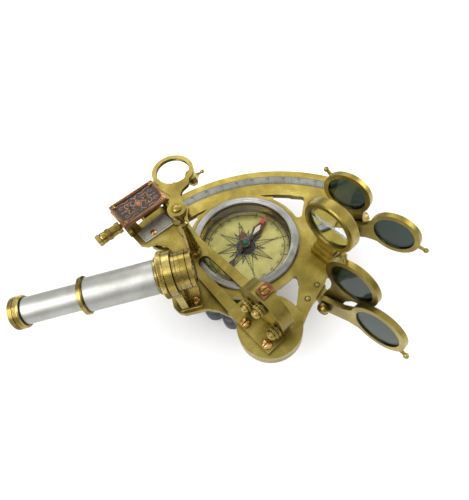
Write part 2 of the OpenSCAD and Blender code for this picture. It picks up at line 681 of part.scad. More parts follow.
// Places children on the mirror's axis: Z crosses the arm, Y is up the part
module on_mirror() on_arm() translate([-0.6, cup_a, cup_z]) rotate([90, 0, 90]) children();

module cup_cut(h) intersection() {
    children();
    translate([-30, cup_floor - cup_z, -1]) cube([60, 60, h + 2]);
}

module mirror_holder() color(brass) {
    on_mirror() {
        difference() {
            cup_cut(cup_t) cylinder(r = cup_r, h = cup_t);
            translate([0, 0, 2]) cylinder(r = cup_r - 1.6, h = cup_t);
        }
    }
    on_arm() difference() {
        translate([-13.3, -12.6, arm_top]) cube([13.7, 36.4, cup_floor - arm_top]);
        for (y = holder_screws_y) translate([-10, y, arm_top - 1]) cylinder(r = 1.3, h = 4);
    }
    on_arm() for (y = holder_screws_y) translate([-4.3, y + 4.5, cup_floor]) cube([3.4, 4, 3]);
}

module index_mirror() color([0.85, 0.88, 0.88]) on_mirror() translate([0, 0, 3.6])
    cup_cut(3) cylinder(r = cup_r - 1.65, h = 2.6);

module mirror_clip() color(copper) on_arm() translate([0, cup_a + 1, cup_z + cup_r]) {
    translate([1, -3.6, 0.05]) cube([9, 7.2, 1.2]);
    translate([8.6, -3.6, -4.5]) cube([1.4, 7.2, 5]);
}

module mirror_screws() color([0.82, 0.60, 0.30]) {
    on_arm() {
        for (y = holder_screws_y) translate([-10, y, cup_floor]) slot_screw(3.1, 2.6, 1.25, 1.9);
        translate([5, cup_a + 1, cup_z + cup_r + 1.25]) slot_screw(2.8, 1.6, 1, 0);
    }
}

module mirror_adjuster(a, z) color(brass)
    on_arm() translate([-0.65, a, z]) rotate([0, -90, 0])
        turned([[0, 0], [3, 0], [3, 0.5], [3.9, 0.8], [3.9, 2.1], [3.4, 2.4], [3.9, 2.7], [3.9, 4], [3.2, 4.4],
            [3.4, 5], [3.2, 6], [2.4, 7], [1.2, 7.6], [0, 7.8]]);

module mirror_adjuster_top() mirror_adjuster(3.4, 29.5);
module mirror_adjuster_near() mirror_adjuster(-8, 17);
module mirror_adjuster_far() mirror_adjuster(14.5, 18);

frame_plate();
scale_arc();
compass_bowl();
compass_bezel();
compass_dial();
compass_glass();
compass_pivot();
compass_back_plate();
feet();
collar_bracket();
flange_ring();
main_tube();
tube_end_ring();
objective_cell();
objective_lens();
draw_tube();
eyepiece_ring();
eyepiece_lens();
horizon_base();
horizon_ring();
horizon_glass();
horizon_mirror();
upper_shade_bracket();
lower_shade_bracket();
shade_pivot_pins();
frame_screws();
handle_grip();
handle_posts();
handle_plate();
pivot_cap();
pivot_pin();
index_arm();
vernier_plate();
arm_tab();
arm_screws();
micrometer_yoke();
plate_bridge();
name_plate();
magnifier_post();
mirror_holder();
index_mirror();
mirror_clip();
mirror_screws();
mirror_adjuster_top();
mirror_adjuster_near();
mirror_adjuster_far();
tangent_screw();
clamp_block();
clamp_screw();
magnifier_frame();
magnifier_lens();
compass_needle();
shade_frame_1();
shade_glass_1();
shade_frame_2();
shade_glass_2();
shade_frame_3();
shade_glass_3();
shade_frame_4();
shade_glass_4();
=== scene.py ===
"""Nautical sextant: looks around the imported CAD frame. Everything is in metres, in the part's own frame."""
import math

import bmesh
import bpy
from mathutils import Matrix, Vector


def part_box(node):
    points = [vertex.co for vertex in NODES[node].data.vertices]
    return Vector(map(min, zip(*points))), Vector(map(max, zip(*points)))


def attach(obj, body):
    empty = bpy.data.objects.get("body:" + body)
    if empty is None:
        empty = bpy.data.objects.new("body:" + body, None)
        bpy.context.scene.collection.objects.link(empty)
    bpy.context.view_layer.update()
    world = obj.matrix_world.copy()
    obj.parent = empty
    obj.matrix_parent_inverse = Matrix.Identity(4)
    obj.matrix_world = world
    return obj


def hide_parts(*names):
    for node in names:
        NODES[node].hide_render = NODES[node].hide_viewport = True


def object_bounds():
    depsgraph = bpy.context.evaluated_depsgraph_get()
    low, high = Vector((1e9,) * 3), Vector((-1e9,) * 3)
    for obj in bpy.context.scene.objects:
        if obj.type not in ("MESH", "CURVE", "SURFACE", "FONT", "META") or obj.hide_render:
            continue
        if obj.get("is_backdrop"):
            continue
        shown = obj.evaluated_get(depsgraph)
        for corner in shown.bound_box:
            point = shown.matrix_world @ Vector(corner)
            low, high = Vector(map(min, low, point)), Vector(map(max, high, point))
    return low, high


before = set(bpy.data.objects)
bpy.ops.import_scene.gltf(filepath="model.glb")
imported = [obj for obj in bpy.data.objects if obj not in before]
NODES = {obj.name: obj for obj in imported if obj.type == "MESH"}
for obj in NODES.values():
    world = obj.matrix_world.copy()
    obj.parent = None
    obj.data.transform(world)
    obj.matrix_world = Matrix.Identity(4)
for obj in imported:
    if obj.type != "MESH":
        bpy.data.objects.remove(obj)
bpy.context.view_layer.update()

MM = 0.001

# Places and heights are in millimetres, counted from the index pivot on the frame's face
PIVOT = Vector((18.5, -53.1, 52.0))
ARM_ANGLE = math.radians(28.9)
MICRO_AT = 138
MICRO_LEAN = -2.8
CLAMP_AT = 141.2
COMPASS_Y = 67.7
NEEDLE_Z = -5.9
NEEDLE_ANGLE = -47.5
SIGHT_Y = 37.1
SIGHT_Z = 34
EYEPIECE_X = -143.7
GRIP_AT = (-21.9, 43.6)
GRIP_ANGLE = 137.5
GRIP_FRONT = -35
GRIP_BACK = -51
GRIP_PLATE_BACK = -52


# ---- shader building ----

class Shader:
    """A node material: small helpers that return output sockets."""

    def __init__(self, name):
        self.mat = bpy.data.materials.new(name)
        self.mat.use_nodes = True
        self.tree = self.mat.node_tree
        self.tree.nodes.clear()
        out = self.tree.nodes.new("ShaderNodeOutputMaterial")
        self.bsdf = self.tree.nodes.new("ShaderNodeBsdfPrincipled")
        self.tree.links.new(self.bsdf.outputs[0], out.inputs["Surface"])
        self.coord = self.tree.nodes.new("ShaderNodeTexCoord").outputs["Object"]

    def node(self, kind, **settings):
        n = self.tree.nodes.new(kind)
        for key, value in settings.items():
            setattr(n, key, value)
        return n

    def feed(self, socket, value):
        if isinstance(value, bpy.types.NodeSocket):
            self.tree.links.new(value, socket)
        else:
            socket.default_value = value

    def place(self, scale=(1.0, 1.0, 1.0), turn=0.0):
        """Object coordinates in millimetres, turned about Z, then scaled."""
        m = self.node("ShaderNodeMapping")
        self.feed(m.inputs["Vector"], self.coord)
        m.inputs["Rotation"].default_value = (0.0, 0.0, turn)
        m.inputs["Scale"].default_value = [s / MM for s in scale]
        return m.outputs[0]

    def noise(self, vector, scale, detail=3.0, rough=0.55, distort=0.0):
        n = self.node("ShaderNodeTexNoise")
        self.feed(n.inputs["Vector"], vector)
        n.inputs["Scale"].default_value = scale
        n.inputs["Detail"].default_value = detail
        n.inputs["Roughness"].default_value = rough
        n.inputs["Distortion"].default_value = distort
        return n.outputs["Fac"]

    def ramp(self, fac, *stops):
        n = self.node("ShaderNodeValToRGB")
        self.feed(n.inputs[0], fac)
        elements = n.color_ramp.elements
        while len(elements) < len(stops):
            elements.new(0.5)
        for element, (pos, value) in zip(elements, stops):
            element.position = pos
            element.color = value if isinstance(value, tuple) else (value, value, value, 1.0)
        return n.outputs[0]

    def mix(self, fac, a, b):
        n = self.node("ShaderNodeMix", data_type="RGBA")
        self.feed(n.inputs["Factor"], fac)
        self.feed(n.inputs[6], a)
        self.feed(n.inputs[7], b)
        return n.outputs[2]

    def spread(self, value, low, high, to_low, to_high):
        n = self.node("ShaderNodeMapRange")
        self.feed(n.inputs["Value"], value)
        n.inputs["From Min"].default_value = low
        n.inputs["From Max"].default_value = high
        n.inputs["To Min"].default_value = to_low
        n.inputs["To Max"].default_value = to_high
        return n.outputs[0]

    def crevice(self, distance):
        """1 in the open, falling to 0 in corners and gaps."""
        n = self.node("ShaderNodeAmbientOcclusion", samples=4)
        n.inputs["Distance"].default_value = distance * MM
        return n.outputs["AO"]

    def edge(self, radius):
        """1 on sharp edges, 0 on flats."""
        b = self.node("ShaderNodeBevel", samples=4)
        b.inputs["Radius"].default_value = radius * MM
        g = self.node("ShaderNodeNewGeometry")
        d = self.node("ShaderNodeVectorMath", operation="DOT_PRODUCT")
        self.feed(d.inputs[0], b.outputs[0])
        self.feed(d.inputs[1], g.outputs["Normal"])
        return self.spread(d.outputs["Value"], 0.995, 0.88, 0.0, 1.0)

    def bump(self, height, strength, distance):
        n = self.node("ShaderNodeBump")
        n.inputs["Strength"].default_value = strength
        n.inputs["Distance"].default_value = distance * MM
        self.feed(n.inputs["Height"], height)
        return n.outputs[0]


def rgba(r, g, b):
    """Eight-bit display values to a linear colour."""
    lin = [(c / 255.0 / 12.92) if c <= 10 else ((c / 255.0 + 0.055) / 1.055) ** 2.4 for c in (r, g, b)]
    return (lin[0], lin[1], lin[2], 1.0)


def metal(name, tone, dark, light, rough=0.3, streak=(1.0, 1.0, 1.0), turn=0.0, grain=0.25, painted_corner_shade=0.6,
          patina=0.35):
    """Worn satin metal: clouded tone, brushed grain, painted shade in the corners and gaps, and bright edges
    that are partly rubbed wear and partly painted highlight.
    """
    s = Shader(name)
    s.bsdf.inputs["Metallic"].default_value = 1.0
    clouds = s.noise(s.place(), 0.055, 4.0, 0.6, 0.4)
    specks = s.noise(s.place(), 0.9, 3.0, 0.65)
    colour = s.ramp(clouds, (0.30, dark), (0.52, tone), (0.74, light))
    colour = s.mix(s.spread(specks, 0.35, 0.75, 0.0, patina), colour, dark)
    # Painted shade: where ambient occlusion finds corners and gaps between parts, the colour darkens towards
    # a deep brown. The corner-shade argument sets how deep.
    corner = s.spread(s.crevice(2.2), 0.45, 0.95, painted_corner_shade, 0.0)
    colour = s.mix(corner, colour, tuple(c * 0.16 for c in dark[:3]) + (1.0,))
    # Edges lightened towards the light tone: partly rubbed wear, partly a painted highlight.
    colour = s.mix(s.spread(s.edge(0.35), 0.0, 1.0, 0.0, 0.55), colour, light)
    s.feed(s.bsdf.inputs["Base Color"], colour)
    brush = s.noise(s.place(streak, turn), 1.0, 4.0, 0.6)
    rub = s.spread(brush, 0.3, 0.7, rough - 0.07, rough + 0.09)
    spots = s.spread(specks, 0.2, 0.8, rough - 0.1, rough + 0.16)
    s.feed(s.bsdf.inputs["Roughness"], s.mix(0.35, rub, spots))
    s.feed(s.bsdf.inputs["Normal"], s.bump(brush, grain, 0.03))
    return s.mat


BRASS_DARK = rgba(112, 98, 45)
BRASS = rgba(142, 126, 60)
BRASS_LIGHT = rgba(178, 162, 92)

# Each finish's corner value sets the depth of its painted corner shade.
M = {}
M["brass"] = metal("satin_brass", BRASS, BRASS_DARK, BRASS_LIGHT, 0.33)
M["brass_arm"] = metal("brushed_arm_brass", BRASS, BRASS_DARK, BRASS_LIGHT, 0.35,
                       (6.0, 0.25, 6.0), ARM_ANGLE, 0.2)
M["polished"] = metal("polished_brass", rgba(160, 140, 72), rgba(98, 80, 34), rgba(208, 190, 120), 0.22,
                      grain=0.08, painted_corner_shade=0.8)
M["warm"] = metal("warm_brass", rgba(170, 130, 68), rgba(112, 80, 36), rgba(214, 178, 112), 0.24, grain=0.1)
M["silver"] = metal("satin_nickel", rgba(148, 148, 142), rgba(112, 112, 105), rgba(180, 180, 174), 0.36,
                    painted_corner_shade=0.6, patina=0.15)
# A brighter silver than the nickel and the scale: partly the plate's own lighter tone, partly painted light
# that lifts the shade falling under the name plate.
M["vernier"] = metal("vernier_silver", rgba(186, 186, 172), rgba(156, 156, 142), rgba(206, 206, 196), 0.42,
                     painted_corner_shade=0.2, patina=0.2)
M["tube"] = metal("brushed_tube", rgba(166, 166, 160), rgba(150, 150, 143), rgba(180, 180, 176), 0.44,
                  (0.12, 5.0, 5.0), 0.0, 0.3, 0.5, 0.08)
M["scale"] = metal("scale_silver", rgba(126, 128, 118), rgba(104, 106, 96), rgba(146, 148, 138), 0.45,
                   painted_corner_shade=0.5, patina=0.2)
M["copper"] = metal("worn_copper", rgba(148, 102, 70), rgba(88, 56, 38), rgba(190, 146, 108), 0.32)


def glass(name, tint, rough, smear, ior):
    s = Shader(name)
    smudge = s.noise(s.place(), 0.12, 5.0, 0.6, 0.8)
    s.feed(s.bsdf.inputs["Base Color"], s.mix(smudge, tint, tuple(0.92 * c for c in tint[:3]) + (1.0,)))
    s.feed(s.bsdf.inputs["Roughness"], s.spread(smudge, 0.35, 0.75, rough, rough + smear))
    s.bsdf.inputs["IOR"].default_value = ior
    s.bsdf.inputs["Transmission Weight"].default_value = 1.0
    return s.mat


M["clear"] = glass("clear_glass", (0.97, 0.99, 0.98, 1.0), 0.0, 0.02, 1.18)
M["shade"] = glass("shade_glass", rgba(46, 60, 54), 0.03, 0.04, 1.3)
M["mirror"] = metal("silvered_glass", rgba(206, 212, 212), rgba(170, 178, 178), rgba(232, 236, 236), 0.05,
                    grain=0.02, painted_corner_shade=0.3, patina=0.1)


def mould(name, tone, light, rough):
    s = Shader(name)
    pebble = s.noise(s.place(), 1.6, 4.0, 0.7)
    cloud = s.noise(s.place(), 0.09, 3.0)
    colour = s.ramp(cloud, (0.3, tone), (0.75, light))
    # Edges lightened to grey: partly wear, partly a painted highlight.
    colour = s.mix(s.spread(s.edge(0.5), 0.0, 1.0, 0.0, 0.35), colour, rgba(92, 96, 100))
    s.feed(s.bsdf.inputs["Base Color"], colour)
    s.feed(s.bsdf.inputs["Roughness"], s.spread(pebble, 0.3, 0.7, rough - 0.08, rough + 0.12))
    s.feed(s.bsdf.inputs["Normal"], s.bump(pebble, 0.5, 0.12))
    return s.mat


M["grip"] = mould("moulded_grip", rgba(34, 36, 40), rgba(48, 51, 56), 0.42)
M["dial"] = metal("dial_face", rgba(180, 170, 104), rgba(146, 136, 76), rgba(200, 190, 126), 0.42,
                  painted_corner_shade=0.3, patina=0.2)


def ink(name, tone, light, rough=0.45):
    s = Shader(name)
    mottle = s.noise(s.place(), 1.2, 3.0)
    s.feed(s.bsdf.inputs["Base Color"], s.ramp(mottle, (0.35, tone), (0.75, light)))
    s.feed(s.bsdf.inputs["Roughness"], s.spread(mottle, 0.3, 0.7, rough - 0.1, rough + 0.1))
    return s.mat


M["ink"] = ink("black_ink", rgba(14, 14, 15), rgba(34, 34, 36))
M["red"] = ink("red_paint", rgba(168, 22, 18), rgba(204, 44, 30), 0.35)
M["maroon"] = ink("maroon_enamel", rgba(92, 24, 18), rgba(132, 40, 28), 0.4)
M["cream"] = ink("cream_paint", rgba(196, 186, 160), rgba(226, 218, 196), 0.5)
M["jewel"] = ink("green_jewel", rgba(10, 84, 58), rgba(20, 130, 88), 0.12)
M["black"] = ink("black_enamel", rgba(18, 17, 17), rgba(42, 40, 40), 0.5)

FINISH = {
    "brass": "frame_plate feet horizon_ring horizon_base upper_shade_bracket lower_shade_bracket "
             "micrometer_yoke shade_frame_1 shade_frame_2 shade_frame_3 shade_frame_4 mirror_holder "
             "magnifier_frame plate_bridge clamp_block pivot_pin",
    "brass_arm": "index_arm arm_tab",
    "polished": "collar_bracket objective_cell tube_end_ring flange_ring handle_posts magnifier_post "
                "tangent_screw clamp_screw eyepiece_ring compass_pivot shade_pivot_pins mirror_adjuster_top "
                "mirror_adjuster_near mirror_adjuster_far",
    "warm": "arm_screws frame_screws mirror_screws",
    "silver": "compass_bowl compass_bezel",
    "vernier": "vernier_plate",
    "tube": "main_tube draw_tube",
    "scale": "scale_arc",
    "copper": "handle_plate pivot_cap name_plate mirror_clip",
    "clear": "compass_glass objective_lens eyepiece_lens horizon_glass magnifier_lens",
    "shade": "shade_glass_1 shade_glass_2 shade_glass_3 shade_glass_4",
    "mirror": "horizon_mirror index_mirror",
    "grip": "handle_grip",
    "dial": "compass_dial compass_back_plate",
    "ink": "compass_needle",
}
for finish, names in FINISH.items():
    for name in names.split():
        node = NODES[name]
        node.data.materials.clear()
        node.data.materials.append(M[finish])
        if finish not in ("clear", "shade", "mirror"):
            bevel = node.modifiers.new("edge", "BEVEL")
            bevel.width = 0.25 * MM
            bevel.segments = 2
            bevel.limit_method = "ANGLE"
            bevel.angle_limit = math.radians(35)
            bevel.harden_normals = False

# ---- mesh building: outlines are in millimetres, on the same axes as the CAD's own ----

def move(x, y, z):
    return Matrix.Translation((x, y, z))


def turn(degrees, axis="Z"):
    return Matrix.Rotation(math.radians(degrees), 4, axis)


FACE = Matrix.Scale(MM, 4) @ Matrix.Translation(PIVOT)
ARM = FACE @ Matrix.Rotation(ARM_ANGLE, 4, "Z")
MICRO = ARM @ move(0, MICRO_AT, 0) @ turn(MICRO_LEAN) @ move(0, -MICRO_AT, 0)
COMPASS = FACE @ move(0, COMPASS_Y, 0)
NEEDLE = COMPASS @ move(0, 0, NEEDLE_Z) @ turn(NEEDLE_ANGLE)
HORIZON = FACE @ move(48.2, 39.2, 34) @ turn(119) @ turn(90, "X")
UNDER = turn(180, "X")


def sight(x):
    """Axes on the telescope's line of sight, at x along it."""
    return FACE @ move(x, SIGHT_Y, SIGHT_Z) @ turn(90, "Y")


def grip(z):
    """Axes of the grip, at height z."""
    return FACE @ move(GRIP_AT[0], GRIP_AT[1], z) @ turn(GRIP_ANGLE)


def circle(r, n=64, cx=0.0, cy=0.0):
    return [(cx + r * math.cos(2 * math.pi * i / n), cy + r * math.sin(2 * math.pi * i / n))
            for i in range(n)]


class Build:
    """Gathers closed shapes into one mesh; each shape takes the material in hand."""

    def __init__(self, *finishes):
        self.bm = bmesh.new()
        self.finishes = finishes
        self.hand = 0

    def quads(self, rows, closed=True, loop=False):
        """Joins rows of points, each as long as the last, into a skin."""
        verts = [[self.bm.verts.new(p) for p in row] for row in rows]
        pairs = list(zip(verts, verts[1:])) + ([(verts[-1], verts[0])] if loop else [])
        for a, b in pairs:
            n = len(a)
            for i in range(n if closed else n - 1):
                j = (i + 1) % n
                face = self.bm.faces.new((a[i], a[j], b[j], b[i]))
                face.material_index = self.hand
        return verts

    def cap(self, verts, flip=False):
        face = self.bm.faces.new(list(reversed(verts)) if flip else verts)
        face.material_index = self.hand

    def plate(self, outline, z0, z1, m=Matrix(), chamfer=0.0):
        """A prism; a chamfer draws the upper edge in."""
        cx = sum(p[0] for p in outline) / len(outline)
        cy = sum(p[1] for p in outline) / len(outline)
        size = max(math.hypot(p[0] - cx, p[1] - cy) for p in outline)
        k = 1 - chamfer / size
        rows = [(outline, z0), (outline, z1 - chamfer)] if chamfer else [(outline, z0)]
        rows.append(([(cx + (x - cx) * k, cy + (y - cy) * k) for x, y in outline], z1))
        v = self.quads([[m @ Vector((x, y, z)) for x, y in row] for row, z in rows])
        self.cap(v[0], True)
        self.cap(v[-1])

    def line(self, points, width, z0, z1, m=Matrix(), loop=False):
        """A flat strip of one width along a path."""
        n = len(points)
        rows = []
        for i, p in enumerate(points):
            a = points[(i - 1) % n] if loop or i else p
            b = points[(i + 1) % n] if loop or i < n - 1 else p
            d0, d1 = Vector(p) - Vector(a), Vector(b) - Vector(p)
            d0 = d0.normalized() if d0.length > 0 else d1.normalized()
            d1 = d1.normalized() if d1.length > 0 else d0
            d = (d0 + d1).normalized()
            side = Vector((-d.y, d.x)) * (width / 2) / max(0.4, d.dot(d1))
            left, right = Vector(p) + side, Vector(p) - side
            rows.append([m @ Vector((q.x, q.y, z)) for q, z in
                         ((left, z0), (right, z0), (right, z1), (left, z1))])
        v = self.quads(rows, loop=loop)
        if not loop:
            self.cap(v[0], True)
            self.cap(v[-1])

    def lathe(self, profile, m=Matrix(), n=96, loop=True):
        """A closed outline of (radius, height) turned about Z; loop=False closes on the axis instead."""
        rows = [[m @ Vector((r * math.cos(t), r * math.sin(t), z)) for r, z in profile]
                for t in (2 * math.pi * i / n for i in range(n))]
        self.quads(rows, closed=loop, loop=True)

    def hoop(self, r, z, thick, m=Matrix(), n=96, sides=10):
        self.lathe([(r + thick * math.cos(a), z + thick * math.sin(a))
                    for a in (2 * math.pi * i / sides for i in range(sides))], m, n)

    def tube(self, path, r, m=Matrix(), sides=10, loop=False):
        rows = []
        n = len(path)
        up = Vector((0, 0, 1))
        for i, p in enumerate(path):
            a = path[(i - 1) % n] if loop or i else p
            b = path[(i + 1) % n] if loop or i < n - 1 else p
            d = (Vector(b) - Vector(a)).normalized()
            side = d.cross(up).normalized()
            top = side.cross(d)
            rows.append([m @ (Vector(p) + r * (math.cos(t) * side + math.sin(t) * top))
                         for t in (2 * math.pi * k / sides for k in range(sides))])
        v = self.quads(rows, loop=loop)
        if not loop:
            self.cap(v[0], True)
            self.cap(v[-1])

    def knurl(self, r, z0, z1, m=Matrix(), count=72, lean=0.0, depth=0.35):
        """Ridges that stand around a turned edge of radius r."""
        sunk, wall, slope = 0.12, 0.5, 0.25
        rows = []
        for z, k in ((z0, 0.0), (z0 + slope, 1.0), (z1 - slope, 1.0), (z1, 0.0)):
            twist = lean * (z - z0)
            rows.append([m @ Vector((q * math.cos(t), q * math.sin(t), z)) for q, t in (
                (r - sunk + (depth + sunk) * k * (i % 2), math.pi * i / count + twist)
                for i in range(2 * count))])
        inner = [[m @ Vector(((r - wall) * math.cos(t), (r - wall) * math.sin(t), z))
                  for t in (math.pi * i / count for i in range(2 * count))] for z in (z1, z0)]
        self.quads(rows + inner, loop=True)

    def word(self, text, size, m, depth=0.08):
        """Plain generic numbers or letters, centred on the origin of m."""
        curve = bpy.data.curves.new("letters", "FONT")
        curve.body = text
        curve.size = size
        curve.align_x = "CENTER"
        curve.align_y = "CENTER"
        curve.extrude = depth / 2
        curve.resolution_u = 3
        holder = bpy.data.objects.new("letters", curve)
        mesh = bpy.data.meshes.new_from_object(holder)
        mesh.transform(m @ move(0, 0, depth / 2))
        before = len(self.bm.faces)
        self.bm.from_mesh(mesh)
        self.bm.faces.ensure_lookup_table()
        for face in self.bm.faces[before:]:
            face.material_index = self.hand
        bpy.data.objects.remove(holder)
        bpy.data.curves.remove(curve)
        bpy.data.meshes.remove(mesh)

    def finish(self, name, body, slot, smooth=False, frame_of=None):
        self.bm.normal_update()
        bmesh.ops.recalc_face_normals(self.bm, faces=self.bm.faces)
        mesh = bpy.data.meshes.new(name)
        self.bm.to_mesh(mesh)
        self.bm.free()
        if frame_of is not None:
            mesh.transform(frame_of)
        for finish in self.finishes:
            mesh.materials.append(M[finish])
        for polygon in mesh.polygons:
            polygon.use_smooth = smooth
        obj = bpy.data.objects.new(name, mesh)
        bpy.context.scene.collection.objects.link(obj)
        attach(obj, body)
        return obj


def star(b, tips, z0, z1):
    """A compass rose: each point is half filled and half outlined. tips holds (angle, length, half-width)."""
    for angle, length, half in tips:
        waist = half * 1.9
        t = turn(-angle)
        b.plate([(0, 1), (half, waist), (0, length)], z0, z1, t)
        b.line([(0, 1), (-half, waist), (0, length)], 0.4, z0, z1, t)


def points(count, length, half, start=0.0):
    return [(start + 360.0 * i / count, length, half) for i in range(count)]


# ---- the compass ----

DIAL_TOP = -8.2
INK = 0.12
top, over = DIAL_TOP, DIAL_TOP + INK
rose = Build("ink", "maroon")
for r, width in ((32.2, 0.8), (28.3, 0.5)):
    rose.line(circle(r, 160), width, top, over, loop=True)
for i in range(120):
    tick = 28.6 if i % 10 == 0 else 29.6 if i % 5 == 0 else 30.6
    rose.line([(0, tick), (0, 32.1)], 0.7 if i % 5 == 0 else 0.42, top, over, turn(3 * i))
for i in range(24):
    rose.word(str(15 * i), 2.1, turn(-15 * i) @ move(0, 26.7, top), INK)
for angle, length, half in points(8, 14.5, 2.0, 22.5) + points(8, 22.5, 3.1):
    waist = half * 2.1
    t = turn(-angle)
    rose.line([(-half, waist), (0, length), (half, waist)], 0.62, top, over, t)
    rose.line([(0, 4), (0, length)], 0.3, top, over, t)
    for k in range(7):
        y = waist + (length - waist) * k / 8
        rose.line([(0, y), (half * (length - y) / (length - waist), y)], 0.26, top, over, t)
for angle, letter, r in ((0, "N", 17.6), (90, "E", 24.3), (270, "W", 24.3), (180, "S", 24.3)):
    rose.word(letter, 4.4, turn(-angle) @ move(0, r - 0.6, top), INK)
rose.lathe([(4.2, top), (7.2, top), (7.2, over + 0.15), (6.8, over + 0.25), (4.4, over + 0.25),
              (4.2, over)])
for i in range(24):
    rose.plate(circle(0.42, 8, cy=5.7), over + 0.2, over + 0.45, turn(15 * i), 0.12)
rose.hand = 1
petal = [(-1.6, 8.4), (0, 7.6), (1.6, 8.4), (3, 10.6), (1.3, 11.6), (0, 14.6), (-1.3, 11.6), (-3, 10.6)]
rose.plate(petal, top, over + 0.12)
rose.hand = 0
rose.line(petal, 0.36, top, over + 0.2, loop=True)
rose.finish("dial_markings", "frame", "dial", frame_of=COMPASS)

needle = Build("red", "cream", "polished", "jewel")
needle.plate([(-1.3, 21.6), (1.3, 21.6), (2.05, 24), (0, 28), (-2.05, 24)], 0.65, 0.85)
needle.plate([(-3.0, 16.4), (-2.3, 16.4), (-1.4, 21.4), (1.4, 21.4), (2.3, 16.4), (3.0, 16.4), (1.5, 21.8),
              (-1.5, 21.8)], 0.65, 0.85)
needle.hand = 1
needle.plate([(0, 9.8), (1.8, 16), (0, 20.6), (-1.8, 16)], 0.1, 0.6)
needle.hand = 2
needle.hoop(3.35, 3.05, 0.22)
needle.hand = 3
needle.lathe([(0, 3.7), (1.9, 3.75), (1.8, 4.3), (1.3, 4.75), (0.7, 4.95), (0, 5.0)], n=10, loop=False)
needle.finish("needle_paint", "compass_needle", "needle", frame_of=NEEDLE)

back = Build("ink", "polished")
depth = PIVOT.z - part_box("compass_back_plate")[0].z / MM
for r, width in ((29.6, 0.5), (25.6, 0.3), (9.2, 0.35)):
    back.line(circle(r, 128), width, depth, depth + 0.08, loop=True)
for i in range(72):
    back.line([(0, 26.2 if i % 6 == 0 else 27.8), (0, 29.3)], 0.32, depth, depth + 0.08, turn(5 * i))
star(back, points(4, 25.2, 3.8) + points(4, 20.5, 3.2, 45) + points(8, 15.5, 1.9, 22.5), depth, depth + 0.08)
for i in range(16):
    t = turn(11.25 + 22.5 * i)
    back.line([(-1.5, 17), (-0.9, 19.5), (0, 20.8), (0.9, 19.5), (1.5, 17)], 0.32, depth, depth + 0.08, t)
    back.plate(circle(0.6, 10, cy=22.4), depth, depth + 0.08, t)
back.hand = 1
back.hoop(1.5, depth + 0.1, 0.35, n=32)
back.finish("back_markings", "frame", "dial", frame_of=COMPASS @ UNDER)

bowl = Build("silver", "polished")
for r, z in ((37.4, 2.12), (35.6, 2.34)):
    bowl.hoop(r, z, 0.16, n=128)
bowl.hand = 1
bowl.lathe([(32.95, -8.15), (33.42, -8.15), (33.42, -0.15), (33.2, -0.1), (33.0, -0.3), (33.05, -7.6)], n=128)
bowl.finish("bezel_lines", "frame", "nickel", smooth=True, frame_of=COMPASS)

# ---- the limb's scale ----

SCALE_TOP = 0.1
VERNIER_TOP = 6.9
MARK = 0.06
SCALE_SPAN = 75.0
SCALE_START = -38.0


def limb_arc(r, past=0.3, n=150):
    """Points along the limb at radius r, running a little past the scale's ends."""
    angles = [math.radians(SCALE_START - past + (SCALE_SPAN + 2 * past) * i / n) for i in range(n + 1)]
    return [(-r * math.sin(a), r * math.cos(a)) for a in angles]


scale = Build("ink")
for i in range(131):
    foot = 117.5
    tip = foot + (3.0 if i % 10 == 0 else 2.3 if i % 5 == 0 else 1.5)
    scale.line([(0, foot), (0, tip)], 0.32 if i % 5 == 0 else 0.22, SCALE_TOP, SCALE_TOP + MARK,
               turn(SCALE_START + SCALE_SPAN * i / 130))
for r in (117.45, 124.1):
    scale.line(limb_arc(r), 0.22, SCALE_TOP, SCALE_TOP + MARK)
for i in range(13):
    place = turn(SCALE_START + SCALE_SPAN * (i + 0.06) / 13) @ move(0, 122.3, SCALE_TOP)
    scale.word(str(10 * i), 2.7, place, MARK)
scale.finish("scale_marks", "frame", "nickel", frame_of=FACE)

VERNIER_LEFT = -17.6
VERNIER_STEP = 0.66
low, high = VERNIER_TOP, VERNIER_TOP + MARK
vernier = Build("ink", "warm")
vernier.line([(-18.8, 107.3), (2.4, 106.2), (3.4, 109.4), (3.4, 115.4), (-18.8, 115.8)], 0.25, low, high,
             loop=True)
for i in range(31):
    x = VERNIER_LEFT + VERNIER_STEP * i
    vernier.line([(x, 115.4), (x, 113.6 if i % 5 else 112.4)], 0.14, low, high)
for i in range(4):
    vernier.word(str(3 - i), 1.9, move(VERNIER_LEFT + 10 * VERNIER_STEP * i, 111.2, low), MARK)
vernier.finish("vernier_marks", "index_arm", "nickel", frame_of=ARM)

# ---- the name plate: a rope border and generic scrollwork ----

PLATE_TOP = 18
field = Build("black", "copper")
field.plate([(-22.0, 118.7), (10.4, 118.7), (10.4, 137.9), (-22.0, 137.9)],
            PLATE_TOP + 1.15, PLATE_TOP + 1.45)
field.hand = 1


def spiral(cx, cy, r, turns, start, side=1, n=26):
    out = []
    for i in range(n + 1):
        k = i / n
        a = start + side * turns * 2 * math.pi * k
        out.append((cx + r * (1 - 0.82 * k) * math.cos(a), cy + r * (1 - 0.82 * k) * math.sin(a)))
    return out


